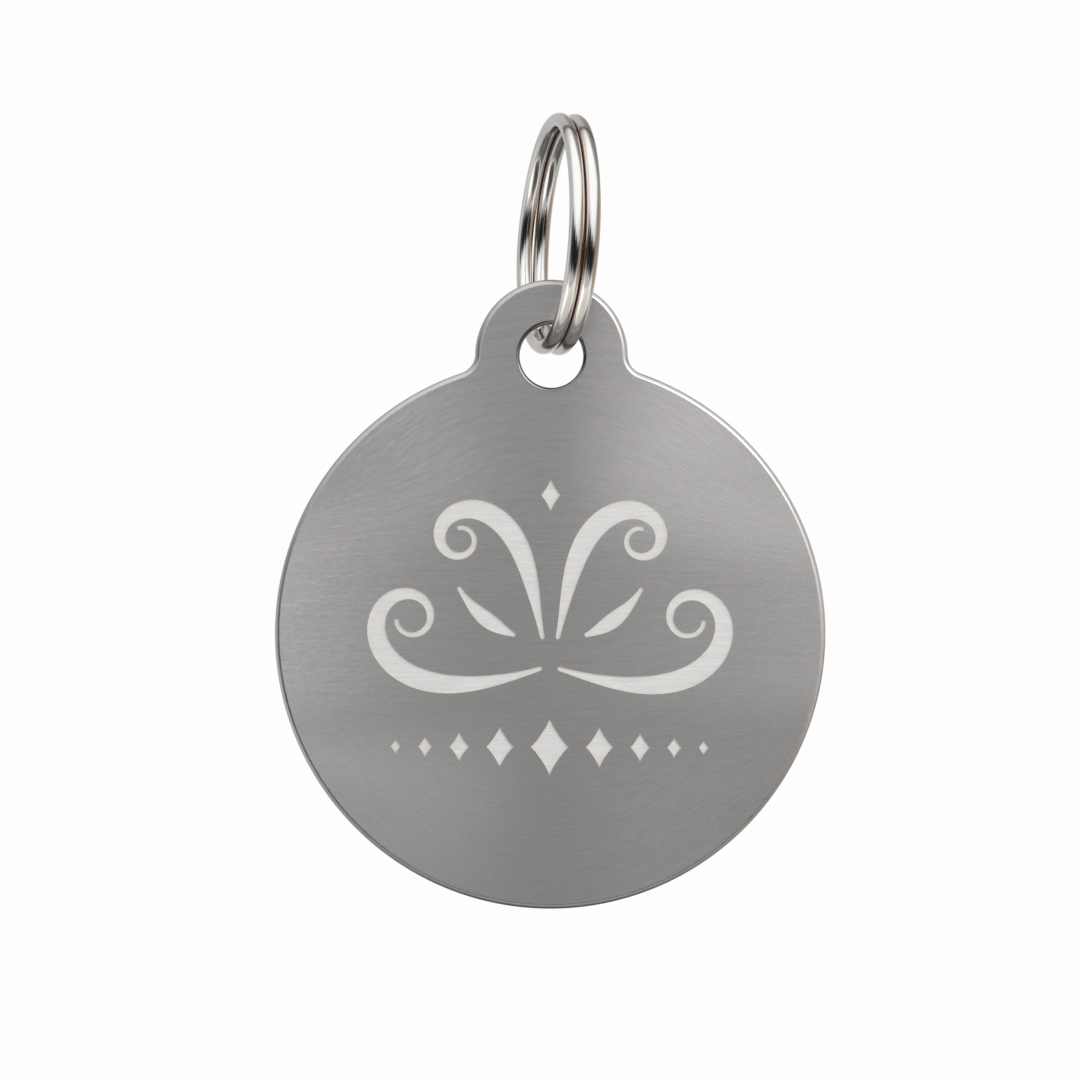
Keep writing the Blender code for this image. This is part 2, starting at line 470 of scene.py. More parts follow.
# %% Polished steel of the edges
EDGE_DARK = (0.42, 0.413, 0.409)
EDGE_LIGHT = (0.52, 0.511, 0.506)
EDGE_ROUGHNESS = (0.30, 0.40)
WORN_GRAINS = 1.5
TUMBLED_GRAINS = 5.0
TUMBLED_DEPTH = 0.0015 * MM


def polished_edge():
    """Smooth steel with dull patches and a faint relief of tumbling."""
    material, tree, shader = new_finish("polished_steel_edge")
    place = place_in_mm(tree, disc_centre)
    worn = even_noise(tree, place, WORN_GRAINS, 3.0)
    shade_between(tree, shader, EDGE_DARK, EDGE_LIGHT, worn)
    roughen_between(tree, shader, *EDGE_ROUGHNESS, worn)
    add_bump(tree, shader, even_noise(tree, place, TUMBLED_GRAINS), TUMBLED_DEPTH)
    return material


# %% [markdown]
# The hole's wall was left as the punch made it: torn, with scratches that run straight
# through the plate. Its dark colour is painted shade: wall and rounding are darkened for the
# shade that falls in the hole.

# %% Steel of the hole, darkened with painted shade
# Painted shade: these dark shades stand for the shade that falls in the hole.
HOLE_SHADE_DARK = (0.15, 0.147, 0.145)
HOLE_SHADE_LIGHT = (0.22, 0.216, 0.213)
PUNCHED_ROUGHNESS = (0.14, 0.24)
SCRATCHES_ACROSS = 9.0
SCRATCHES_ALONG = 0.8
SCRATCH_DEPTH = 0.0008 * MM


def punched_wall_with_painted_shade():
    """Steel with scratches along Y, through the plate, darkened as painted shade."""
    material, tree, shader = new_finish("punched_steel_hole_painted_shade")
    x, y, z = place_in_mm(tree, disc_centre)
    place = vector(tree, x * SCRATCHES_ACROSS, y * SCRATCHES_ALONG, z * SCRATCHES_ACROSS)
    torn = noise(tree, place)
    # The dark base colour here is painted shade for the hole.
    shade_between(tree, shader, HOLE_SHADE_DARK, HOLE_SHADE_LIGHT, torn)
    roughen_between(tree, shader, *PUNCHED_ROUGHNESS, torn)
    add_bump(tree, shader, torn, SCRATCH_DEPTH)
    return material


# %% [markdown]
# The engraving is a frosted cut: its floor scatters light evenly, so it looks pale next to
# the brushed face whichever way the light comes. Close up it shows a mottle and fine tracks.

# %% Frosted steel of the engraving
FROST_DARK = (0.66, 0.645, 0.63)
FROST_LIGHT = (0.78, 0.765, 0.75)
FROST_ROUGHNESS = (0.62, 0.82)
MOTTLE_GRAINS = 6.0
MOTTLE_SHARE = 0.35
TRACKS_ALONG = 0.7
TRACKS_ACROSS = 10.0
FROST_CONTRAST = (0.25, 0.75)
FROST_DEPTH = 0.008 * MM


def frosted_cut():
    """A pale, rough floor with a mottle and sideways tracks."""
    material, tree, shader = new_finish("frosted_engraving", metallic=0.0)
    place = place_in_mm(tree, disc_centre)
    x, y, z = place
    mottle = even_noise(tree, place, MOTTLE_GRAINS, 3.0)
    tracks = noise(tree, vector(tree, x * TRACKS_ALONG, y, z * TRACKS_ACROSS))
    grain = mottle * MOTTLE_SHARE + tracks * (1.0 - MOTTLE_SHARE)
    contrast = smooth_step(grain, *FROST_CONTRAST)
    shade_between(tree, shader, FROST_DARK, FROST_LIGHT, contrast)
    roughen_between(tree, shader, *FROST_ROUGHNESS, contrast)
    add_bump(tree, shader, grain, FROST_DEPTH)
    return material


# %% [markdown]
# The plate is one stamping: a disc and a round ear, blended by a fillet on each side. A 2D
# curve holds the outline as arcs, and the curve's own extrude and bevel give the thickness
# and the rounded edges.

# %% Outline of the plate
EAR_RADIUS = 4.4 * MM
EAR_FILLET = 1.15 * MM
EDGE_ROUND = 0.3 * MM
EDGE_STEPS = 8
EAR_FACETS = 120
FILLET_FACETS = 24
DISC_FACETS = 480

ear_height = plate_high[2] - EAR_RADIUS - disc_centre.z


def arc(centre, radius, start, end, facets):
    """Points along an arc, up to but not including its end."""
    step = (end - start) / facets
    angles = [start + step * index for index in range(facets)]
    return [(centre[0] + radius * math.cos(a), centre[1] + radius * math.sin(a)) for a in angles]


def plate_outline():
    """Disc and ear round the disc's middle, with fillets that touch both circles."""
    from_disc = TAG_RADIUS + EAR_FILLET
    from_ear = EAR_RADIUS + EAR_FILLET
    rise = (from_disc**2 - from_ear**2 + ear_height**2) / (2 * ear_height)
    out = math.sqrt(from_disc**2 - rise**2)
    on_disc = math.atan2(rise, out)
    on_ear = math.atan2(rise - ear_height, out)
    points = arc((0.0, ear_height), EAR_RADIUS, on_ear, math.pi - on_ear, EAR_FACETS)
    points += arc((-out, rise), EAR_FILLET, -on_ear, -on_disc, FILLET_FACETS)
    points += arc((0.0, 0.0), TAG_RADIUS, math.pi - on_disc, math.tau + on_disc, DISC_FACETS)
    points += arc((out, rise), EAR_FILLET, math.pi + on_disc, math.pi + on_ear, FILLET_FACETS)
    return points


def outline_curve():
    """The outline as a filled curve with thickness and rounded edges."""
    curve = bpy.data.curves.new("engraved_tag", "CURVE")
    curve.dimensions = "2D"
    curve.fill_mode = "BOTH"
    curve.extrude = THICKNESS / 2 - EDGE_ROUND
    curve.bevel_depth = EDGE_ROUND
    curve.bevel_resolution = EDGE_STEPS
    curve.offset = -EDGE_ROUND
    outline = plate_outline()
    spline = curve.splines.new("POLY")
    spline.points.add(len(outline) - 1)
    for point, (x, y) in zip(spline.points, outline):
        point.co = (x, y, 0.0, 1.0)
    spline.use_cyclic_u = True
    return curve


def stamped_plate():
    """The plate as a solid, upright in the frame."""
    drawn = add_object("plate_outline", outline_curve())
    mesh = plain_mesh(drawn)
    bpy.data.objects.remove(drawn, do_unlink=True)
    mesh.transform(Matrix.Translation(disc_centre) @ Matrix.Rotation(math.pi / 2, 4, "X"))
    plate = add_object("engraved_tag", mesh)
    close_up(plate)
    return plate


brushed = brushed_steel()
edge = polished_edge()
tag = stamped_plate()
tag.data.materials.clear()
tag.data.materials.append(brushed)
tag.data.materials.append(edge)
print("plate:", len(tag.data.polygons), "faces")

# %% [markdown]
# The hole was punched after the blank was cut, and its edge was drawn in with the punch, so
# it is rounded less deeply than the rim. A spool, spun round from its profile, is taken out
# of the ear with a Boolean: its waist leaves the hole's wall, and its flare, a quarter of an
# ellipse, the shallow rounding on each side.

# %% Punch the hole
HOLE_RADIUS = 3.67 / 2 * MM
FLARE_WIDTH = 0.21 * MM
FLARE_DEPTH = 0.13 * MM
FLARE_STEPS = 8
HOLE_STEPS = 144


def spool_profile():
    """The spool's profile: distances from its axis, and places along the axis."""
    half = THICKNESS / 2
    bends = [math.pi / 2 * index / FLARE_STEPS for index in range(FLARE_STEPS + 1)]
    upper = []
    for bend in bends:
        out = HOLE_RADIUS + FLARE_WIDTH * (1 - math.cos(bend))
        upper.append((out, half - FLARE_DEPTH * (1 - math.sin(bend))))
    upper += [(HOLE_RADIUS + FLARE_WIDTH, 2 * half), (0.0, 2 * half)]
    lower = [(out, -along) for out, along in reversed(upper)]
    return lower + upper


def spool(material):
    """The cutter for the hole, in its place in the ear."""
    shape = bmesh.new()
    points = [shape.verts.new((out, along, 0.0)) for out, along in spool_profile()]
    lines = [shape.edges.new(pair) for pair in zip(points, points[1:])]
    bmesh.ops.spin(
        shape, geom=points + lines, cent=(0.0, 0.0, 0.0), axis=(0.0, 1.0, 0.0),
        angle=math.tau, steps=HOLE_STEPS, use_merge=True,
    )
    mesh = bpy.data.meshes.new("hole_spool")
    shape.to_mesh(mesh)
    shape.free()
    mesh.transform(Matrix.Translation(disc_centre + Vector((0.0, 0.0, ear_height))))
    mesh.materials.append(material)
    return add_object("hole_spool", mesh)


def cut_out(plate, cutter):
    """Take a cutter out of the plate. The cut faces keep the cutter's material."""
    close_up(cutter)
    cut = plate.modifiers.new(cutter.name, "BOOLEAN")
    cut.operation = "DIFFERENCE"
    cut.solver = "EXACT"
    cut.material_mode = "TRANSFER"
    cut.object = cutter
    make_plain(plate)
    bpy.data.objects.remove(cutter, do_unlink=True)


punched_and_shaded = punched_wall_with_painted_shade()
cut_out(tag, spool(punched_and_shaded))
print("plate with its hole:", len(tag.data.polygons), "faces")

# %% [markdown]
# The face carries a shallow engraved ornament: pen strokes that swell and curl, and rows of
# lozenges. Both are cutters with sloping sides, thickened from a flat shape by extruding it
# and spreading its top.

# %% A flat shape as a cutter
ORNAMENT_MARGIN = 5.4 * MM
ORNAMENT_HALF_WIDTH = TAG_RADIUS - ORNAMENT_MARGIN
CUT_DEPTH = 0.12 * MM
CUT_SLOPE = 0.05 * MM


def thickened(tree, flat, outward, slope):
    """A flat shape as a closed cutter through the plate's front, wider at its top."""
    extrude = add_node(tree, "GeometryNodeExtrudeMesh", mode="FACES")
    tree.links.new(flat, extrude.inputs["Mesh"])
    feed(tree, extrude.inputs["Offset"], vector(tree, 0.0, 0.0, 1.0))
    feed(tree, extrude.inputs["Offset Scale"], 2 * CUT_DEPTH)
    feed(tree, extrude.inputs["Individual"], False)
    move = add_node(tree, "GeometryNodeSetPosition")
    tree.links.new(extrude.outputs["Mesh"], move.inputs["Geometry"])
    tree.links.new(extrude.outputs["Top"], move.inputs["Selection"])
    spread = add_node(tree, "ShaderNodeVectorMath", operation="SCALE")
    feed(tree, spread.inputs[0], outward)
    feed(tree, spread.inputs["Scale"], slope)
    tree.links.new(spread.outputs[0], move.inputs["Offset"])
    join = add_node(tree, "GeometryNodeJoinGeometry")
    tree.links.new(move.outputs[0], join.inputs[0])
    tree.links.new(flat, join.inputs[0])
    return hand_on(tree, join.outputs[0], "GeometryNodeMergeByDistance", {"Distance": SAME_POINT})


# %% [markdown]
# A stroke follows a path whose heading turns ever faster, so a Geometry Nodes tree adds up
# its short steps with Accumulate Field and sweeps a flat rib along them. Lengths are shares
# of the ornament's half width, and angles are in degrees.

# %% One pen stroke as a Geometry Nodes tree
THIN_END = 0.02
BLUNT_TIP = 0.04
THICKEST_AT = 0.42

STROKE_SIZES = {
    "Start Across": 0.0,
    "Start Up": 0.0,
    "Heading": 0.0,
    "Length": 1.0,
    "Bend": 0.0,
    "Curl": 0.0,
    "Swell": 0.1,
    "Points": 320,
}


def stroke_heading(size, way):
    """The angle in which the pen heads after a share of its way."""
    return maths("RADIANS", size["Heading"] + size["Bend"] * way + size["Curl"] * way**3.0)


def stroke_path(tree, size, index):
    """The pen's path round the disc's middle, flat in XY."""
    last = size["Points"] - 1.0
    half_on = stroke_heading(size, (index + 0.5) / last)
    step = size["Length"] / last
    one_step = vector(tree, step * maths("COSINE", half_on), step * maths("SINE", half_on), 0.0)
    steps = add_node(tree, "GeometryNodeAccumulateField", data_type="FLOAT_VECTOR")
    feed(tree, steps.inputs["Value"], one_step)
    east, north, _ = parts_of(tree, steps.outputs["Trailing"])
    place = vector(
        tree,
        (size["Start Across"] + east) * ORNAMENT_HALF_WIDTH,
        (size["Start Up"] + north) * ORNAMENT_HALF_WIDTH,
        0.0,
    )
    path = path_of_points(tree, size["Points"], place)
    return hand_on(tree, path, "GeometryNodeSetCurveNormal", mode="Z_UP")


def stroke_half_width(size, way):
    """Half the stroke's width, which swells between two thin ends with rounded tips."""
    power = math.log(0.5) / math.log(THICKEST_AT)
    swelling = maths("SINE", math.pi * way**power) ** 2.0
    width = THIN_END + (size["Swell"] - THIN_END) * swelling
    from_tip = maths("MINIMUM", way, 1.0 - way) * size["Length"] / (THIN_END / 2)
    from_tip = maths("MINIMUM", from_tip, 1.0)
    round_tip = 1.0 - (1.0 - from_tip) ** 2.0
    rounded = maths("SQRT", BLUNT_TIP + (1.0 - BLUNT_TIP) * round_tip)
    return width * rounded * (ORNAMENT_HALF_WIDTH / 2)


def stroke_tree():
    """A stroke as a cutter that stands on the cut's floor."""
    tree, size = geometry_tree("pen_stroke", STROKE_SIZES)
    index = point_index(tree)
    way = index / (size["Points"] - 1.0)
    aim = stroke_heading(size, way)
    to_right = vector(tree, maths("SINE", aim), -1.0 * maths("COSINE", aim), 0.0)
    path = store(tree, stroke_path(tree, size, index), "to_right", to_right, "FLOAT_VECTOR")
    rib = add_node(tree, "GeometryNodeCurvePrimitiveLine")
    rib.inputs["Start"].default_value = (-1.0, 0.0, 0.0)
    rib.inputs["End"].default_value = (1.0, 0.0, 0.0)
    rib_line = store(tree, rib.outputs[0], "side", parts_of(tree, position(tree))[0])
    ribbon = sweep(tree, path, rib_line, stroke_half_width(size, way), capped=False)
    outward = read_back(tree, "to_right", "FLOAT_VECTOR")
    cutter = thickened(tree, ribbon, outward, read_back(tree, "side") * CUT_SLOPE)
    send_out(tree, cutter)
    return tree


# %% [markdown]
# A lozenge is a circle whose sine and cosine are raised to a power, which draws its sides
# inwards. The row repeats it on points that close up and shrink from the middle outwards, so
# one tree with a count makes the long row below and the single lozenge on top.

# %% A row of lozenges as a Geometry Nodes tree
LOZENGE_HOLLOW = 2.4
LOZENGE_POINTS = 96

ROW_SIZES = {
    "Count": 1,
    "Half Width": 0.1,
    "Half Height": 0.15,
    "Shrink": 0.72,
    "Spacing": 0.095,
    "Height": 0.0,
}


def drawn_in(value):
    """A sine or cosine raised to a power, with its sign kept."""
    return maths("SIGN", value) * maths("ABSOLUTE", value) ** LOZENGE_HOLLOW


def one_lozenge(tree, size):
    """A lozenge as a cutter round its own middle."""
    circle = add_node(tree, "GeometryNodeCurvePrimitiveCircle")
    circle.inputs["Resolution"].default_value = LOZENGE_POINTS
    circle.inputs["Radius"].default_value = 1.0
    x, y, _ = parts_of(tree, position(tree))
    place = vector(
        tree,
        drawn_in(x) * size["Half Width"] * ORNAMENT_HALF_WIDTH,
        drawn_in(y) * size["Half Height"] * ORNAMENT_HALF_WIDTH,
        0.0,
    )
    shape = hand_on(tree, circle.outputs[0], "GeometryNodeSetPosition", {"Position": place})
    shape = hand_on(tree, shape, "GeometryNodeFillCurve", mode="NGONS")
    outward = add_node(tree, "ShaderNodeVectorMath", operation="NORMALIZE")
    tree.links.new(position(tree), outward.inputs[0])
    return thickened(tree, shape, Formula(tree, outward.outputs[0]), CUT_SLOPE)


def lozenge_row_tree():
    """Lozenges in a row that is symmetric about the disc's middle line."""
    tree, size = geometry_tree("lozenge_row", ROW_SIZES)
    from_middle = point_index(tree) - (size["Count"] - 1.0) / 2.0
    how_far = maths("ABSOLUTE", from_middle)
    shrunk = size["Shrink"] ** how_far
    widths = size["Half Width"] * (1.0 + size["Shrink"]) * (1.0 - shrunk) / (1.0 - size["Shrink"])
    sideways = maths("SIGN", from_middle) * (widths + size["Spacing"] * how_far)
    seat = vector(tree, sideways * ORNAMENT_HALF_WIDTH, size["Height"] * ORNAMENT_HALF_WIDTH, 0.0)
    points = add_node(tree, "GeometryNodePoints")
    feed(tree, points.inputs["Count"], size["Count"])
    feed(tree, points.inputs["Position"], seat)
    copies = add_node(tree, "GeometryNodeInstanceOnPoints")
    tree.links.new(points.outputs[0], copies.inputs["Points"])
    tree.links.new(one_lozenge(tree, size), copies.inputs["Instance"])
    feed(tree, copies.inputs["Scale"], vector(tree, shrunk, shrunk, 1.0))
    send_out(tree, copies.outputs[0])
    return tree


# %% [markdown]
# The ornament joins its strokes, their mirror images and both rows, and stands them up at the
# plate's front. A Boolean then takes it out of the plate. The cut faces keep the cutter's
# frosted material, so floor and sloping sides come out pale without any painting.

# %% Engrave the ornament
STROKES = [
    {"Start Across": 0.043, "Start Up": -0.19, "Heading": -18.0, "Length": 1.86, "Bend": 40.0,
     "Curl": 430.0, "Swell": 0.114},
    {"Start Across": 0.040, "Start Up": -0.03, "Heading": 78.0, "Length": 1.57, "Bend": 10.0,
     "Curl": -470.0, "Swell": 0.114},
    {"Start Across": 0.19, "Start Up": -0.01, "Heading": 20.0, "Length": 0.42, "Bend": 40.0,
     "Curl": 0.0, "Swell": 0.081, "Points": 120},
]
ROWS = [
    {"Count": 9, "Half Width": 0.104, "Half Height": 0.157, "Height": -0.624},
    {"Count": 1, "Half Width": 0.052, "Half Height": 0.09, "Height": 0.762},
]


def use_tree(tree, inner, sizes):
    """Use one tree inside another with these sizes, and return its shape."""
    group = add_node(tree, "GeometryNodeGroup", node_tree=inner)
    for label, value in sizes.items():
        group.inputs[label].default_value = value
    return group.outputs[0]


def ornament_tree(material):
    """All strokes and rows, upright at the front of the plate."""
    tree, _ = geometry_tree("engraved_ornament", {})
    stroke = stroke_tree()
    row = lozenge_row_tree()
    half = add_node(tree, "GeometryNodeJoinGeometry")
    for sizes in STROKES:
        tree.links.new(use_tree(tree, stroke, sizes), half.inputs[0])
    mirrored = hand_on(tree, half.outputs[0], "GeometryNodeTransform", {"Scale": (-1.0, 1.0, 1.0)})
    whole = add_node(tree, "GeometryNodeJoinGeometry")
    tree.links.new(half.outputs[0], whole.inputs[0])
    tree.links.new(mirrored, whole.inputs[0])
    for sizes in ROWS:
        tree.links.new(use_tree(tree, row, sizes), whole.inputs[0])
    front = -(THICKNESS / 2 - CUT_DEPTH)
    place = {
        "Translation": (disc_centre.x, front, disc_centre.z),
        "Rotation": (math.pi / 2, 0.0, 0.0),
    }
    upright = hand_on(tree, whole.outputs[0], "GeometryNodeTransform", place)
    end_tree(tree, upright, material)
    return tree


frosted = frosted_cut()
cut_out(tag, make_plain(run_tree("ornament", ornament_tree(frosted), {})))
print("materials on the tag:", [material.name for material in tag.data.materials])

# %% [markdown]
# Faces that look straight forwards or back are brushed, those of the rounded rim are
# polished, and the hole and the engraving keep their own. The plate is shaded smooth, but
# where a rounding meets a flat face both take the flat face's own direction, so that the flat
# faces stay flat and only the roundings bend the light.

# %% Sort the tag's faces and smooth its rim
FLAT = math.cos(math.radians(2.0))
SHARP_ANGLE = math.radians(30)


def slot_of(mesh, finish):
    """A finish's number among a mesh's materials."""
    return mesh.materials.find(finish.name)


def sort_faces(mesh):
    """Give the blank's flat faces the brushed finish and its bent ones the polished one."""
    flat_slot = slot_of(mesh, brushed)
    bent_slot = slot_of(mesh, edge)
    cut_slots = (slot_of(mesh, punched_and_shaded), slot_of(mesh, frosted))
    for face in mesh.polygons:
        if face.material_index not in cut_slots:
            face.material_index = flat_slot if abs(face.normal.y) > FLAT else bent_slot
    return sum(face.material_index in cut_slots for face in mesh.polygons)


def shade_with_flat_faces(mesh):
    """Smooth shading in which the brushed faces stay exactly flat."""
    mesh.shade_smooth()
    mesh.set_sharp_from_angle(angle=SHARP_ANGLE)
    straight = {}
    for face in mesh.polygons:
        if face.material_index == slot_of(mesh, brushed):
            for vertex in face.vertices:
                straight[vertex] = face.normal.copy()
    normals = [corner.vector.copy() for corner in mesh.corner_normals]
    for face in mesh.polygons:
        if face.material_index != slot_of(mesh, frosted):
            for corner in face.loop_indices:
                vertex = mesh.loops[corner].vertex_index
                normals[corner] = straight.get(vertex, normals[corner])
    mesh.normals_split_custom_set(normals)


cut_faces = sort_faces(tag.data)
shade_with_flat_faces(tag.data)
print("punched and engraved faces:", cut_faces, "of", len(tag.data.polygons))

# %% [markdown]
# The split ring is one length of polished nickel wire, wound twice with a sideways step
# between the turns. Its centre line is a rule: an angle that runs on, and a sideways place
# that changes over the step. A ring that has been pried open often isn't quite round: this
# one is widest a little below its middle, and its turns open a little at the back. The cut
# ends are slightly chamfered.

# %% The wound wire as a Geometry Nodes tree
WIRE_DIAMETER = 0.9 * MM
WIRE_FACETS = 40
CUT_END = 0.8
OPENING_POWER = 30.0

hang_length = swing_axis.length
ring_radius = (hang_length + WIRE_DIAMETER / 2) / 2

RING_SIZES = {
    "Wire Diameter": WIRE_DIAMETER,
    "Ring Radius": ring_radius,
    "Step Length": 2.5 * MM,
    "Step Place": math.radians(47.0),
    "End Gap": 0.25 * MM,
    "Closed Gap": 0.015 * MM,
    "Open Gap": 0.10 * MM,
    "Open Place": math.radians(84.0),
    "Sag": 0.065,
    "Points": 640,
}


def wire_place(tree, size, angle, sideways):
    """Where the wire's centre line runs, by the angle from the ring's lowest point."""
    opening = (0.5 + 0.5 * maths("COSINE", angle - size["Open Place"])) ** OPENING_POWER
    gap = size["Closed Gap"] + (size["Open Gap"] - size["Closed Gap"]) * opening
    sagged = 1.0 + size["Sag"] * maths("COSINE", angle)
    return vector(
        tree,
        sideways * (size["Wire Diameter"] + gap),
        size["Ring Radius"] * maths("SINE", angle) * sagged,
        -1.0 * size["Ring Radius"] * maths("COSINE", angle),
    )


def wire_section(tree, size):
    """The wire's round section, with each point's place on it stored."""
    circle = add_node(tree, "GeometryNodeCurvePrimitiveCircle")
    circle.inputs["Resolution"].default_value = WIRE_FACETS
    feed(tree, circle.inputs["Radius"], size["Wire Diameter"] / 2.0)
    return store(tree, circle.outputs[0], "section", Formula(tree, position(tree)), "FLOAT_VECTOR")


def wire_tree(material):
    """The ring round its own middle, its axis along X."""
    tree, size = geometry_tree("wound_wire", RING_SIZES)
    index = point_index(tree)
    way = index / (size["Points"] - 1.0)
    step = size["Step Length"] / size["Ring Radius"]
    end_gap = size["End Gap"] / size["Ring Radius"]
    travel = end_gap + (2 * math.tau - step - 2.0 * end_gap) * way
    sideways = smooth_step(travel, math.tau - step, math.tau) - 0.5
    angle = size["Step Place"] + step / 2.0 + travel
    path = path_of_points(tree, size["Points"], wire_place(tree, size, angle, sideways))
    path = store(tree, path, "along", travel * size["Ring Radius"])
    path = store(tree, path, "side", sideways)

    from_end = maths("MINIMUM", index, size["Points"] - 1.0 - index)
    chamfered = CUT_END + (1.0 - CUT_END) * maths("MINIMUM", from_end, 1.0)
    wire = sweep(tree, path, wire_section(tree, size), chamfered, capped=True)
    side = read_back(tree, "side")
    out = parts_of(tree, position(tree))[0]
    facing = -4.0 * side * (out / size["Wire Diameter"] - side)
    end_tree(tree, store(tree, wire, "facing", facing), material)
    return tree


# %% [markdown]
# Nickel plate is a mirror, a little warmer than steel. What keeps it from looking perfect is
# drawn along the wire: faint die lines and a little haze. Where the two turns face each other,
# a brown painted shade darkens the groove between them. The tree above stored how far along
# the wire and where on its section each point lies, and how squarely it faces the other turn,
# so that these marks follow the wire.

# %% Polished nickel of the ring
NICKEL_DARK = (0.68, 0.67, 0.66)
NICKEL_LIGHT = (0.75, 0.74, 0.73)
# Brown painted shade for the groove between the turns, and the facing shares over which it fades in
GROOVE_PAINTED_SHADE = (0.46, 0.28, 0.15)
GROOVE_SHADE_FACING = (0.82, 0.95)
NICKEL_ROUGHNESS = 0.11
HAZE_DULLS = 0.05
GROOVE_SHADE_DULLS = 0.3
# Grains to a millimetre, along the wire and across its section
DIE_LINES = (0.25, 14.0)
HAZE = (0.8, 1.2)
DIE_DEPTH = 0.0004 * MM


def attribute(tree, name, output="Fac"):
    """An attribute that Geometry Nodes stored on the piece."""
    return Formula(tree, add_node(tree, "ShaderNodeAttribute", attribute_name=name).outputs[output])


def wire_noise(tree, along, across):
    """Noise with these grains to a millimetre along the wire and across its section."""
    run = attribute(tree, "along") / MM
    east, north, _ = parts_of(tree, attribute(tree, "section", "Vector").socket)
    return noise(tree, vector(tree, run * along, east * (across / MM), north * (across / MM)))


def polished_nickel():
    """A warm mirror with haze, die lines and brown painted shade between the turns."""
    material, tree, shader = new_finish("polished_nickel_wire")
    haze = wire_noise(tree, *HAZE)
    # Painted shade: the groove where the turns face each other is darkened brown.
    groove_shade = smooth_step(attribute(tree, "facing"), *GROOVE_SHADE_FACING)
    clean = mix_colours(tree, haze, NICKEL_DARK, NICKEL_LIGHT)
    shade_between(tree, shader, clean, GROOVE_PAINTED_SHADE, groove_shade)
    roughness = NICKEL_ROUGHNESS + HAZE_DULLS * haze + GROOVE_SHADE_DULLS * groove_shade
    feed(tree, shader.inputs["Roughness"], roughness)
    add_bump(tree, shader, wire_noise(tree, *DIE_LINES), DIE_DEPTH)
    return material


# %% [markdown]
# The ring stands nearly edge-on to the camera, turned a little about the upright, and it
# leans so far that its lowest point meets the swing joint. Its turn, drop and lean go into the
# mesh, so that the object itself stays at the origin and unturned.

# %% Wind the ring and hang it
RING_TURN = math.radians(12.8)

ring_lean = math.atan2(-swing_axis.x, -swing_axis.z)
nickel = polished_nickel()
ring = make_plain(run_tree("wound_split_ring", wire_tree(nickel), RING_SIZES))
hang = Matrix.Rotation(ring_lean, 4, "Y")
hang = hang @ Matrix.Translation((0.0, 0.0, -(hang_length - ring_radius)))
hang = hang @ Matrix.Rotation(RING_TURN, 4, "Z")
ring.data.transform(hang)
close_up(ring)
ring.data.shade_smooth()
ring.data.set_sharp_from_angle(angle=SHARP_ANGLE)
print(f"ring radius {ring_radius / MM:.2f} mm, {len(ring.data.polygons)} faces")

# %% [markdown]
# The tag is photographed against white, but polished metal also mirrors the rest of the room,
# and those reflections are what draws the dark and bright lines on rim and wire. So the world
# is white to the camera and gives a plain soft light to surfaces that scatter, while mirrors
# and clear things see a pale room: a big softbox over the lens, a warm wall to the right and
# the dark corner where the camera stands. Each of these is a soft round patch. A thin dark
# seam runs in an arch over the wall behind the tag, and shows at the ring's top.

# %% The room in the reflections
WHITE = 0.985
ROOM = (0.62, 0.61, 0.60)
# Degrees to the right of the lens and up, radius of the full and of the fading patch, colour
PATCHES = {
    "white backdrop": (178, 2, 6, 22, (WHITE, WHITE, WHITE)),
    "softbox over the lens": (10, 58, 28, 72, (1.38, 1.37, 1.35)),
    "shade behind, on the right": (140, 40, 12, 45, (0.32, 0.29, 0.27)),
    "warm wall": (86, -5, 22, 44, (0.42, 0.315, 0.225)),
    "pale wall": (-104, -16, 10, 26, (0.82, 0.81, 0.80)),
    "shaded table": (0, -90, 24, 48, (0.30, 0.285, 0.27)),
    "shade low behind": (180, -64, 20, 38, (0.13, 0.12, 0.11)),
    "dark corner": (-58, 2, 10, 24, (0.06, 0.06, 0.06)),
    "dark curtain": (-28, -7, 16, 25, (0.01, 0.01, 0.01)),
    "dark below the lens": (3, -15, 14, 24, (0.01, 0.01, 0.01)),
    "tripod": (28, -22, 11, 21, (0.01, 0.01, 0.01)),
    "bag on the floor": (47, -16, 7, 16, (0.05, 0.042, 0.035)),
}
SEAM_MIDDLE = (-174, 27)
SEAM_RADIUS = 36
SEAM_HALF_WIDTH = 5.0
SEAM_COLOUR = (0.02, 0.018, 0.016)
# Heights of a direction of length 1 between which the seam's feet fade out
SEAM_FEET = (0.25, 0.45)


def cosine(degrees):
    """The cosine of an angle in degrees."""
    return math.cos(math.radians(degrees))


def towards(azimuth, elevation):
    """A direction to the right of the lens and above the horizon, in degrees."""
    turn = math.radians(azimuth)
    rise = math.radians(elevation)
    return (math.sin(turn) * math.cos(rise), -math.cos(turn) * math.cos(rise), math.sin(rise))


def nearness_to(tree, looking, azimuth, elevation):
    """The cosine of the angle between the looking direction and another."""
    meet = add_node(tree, "ShaderNodeVectorMath", operation="DOT_PRODUCT")
    tree.links.new(looking, meet.inputs[0])
    meet.inputs[1].default_value = towards(azimuth, elevation)
    return Formula(tree, meet.outputs["Value"])


def seam_share(tree, looking):
    """1 along the seam, and 0 beside it."""
    nearness = nearness_to(tree, looking, *SEAM_MIDDLE)
    middle = cosine(SEAM_RADIUS)
    outside = smooth_step(nearness, cosine(SEAM_RADIUS + SEAM_HALF_WIDTH), middle)
    inside = smooth_step(nearness, cosine(SEAM_RADIUS - SEAM_HALF_WIDTH), middle)
    height = parts_of(tree, looking)[2]
    return outside * inside * smooth_step(height, *SEAM_FEET)


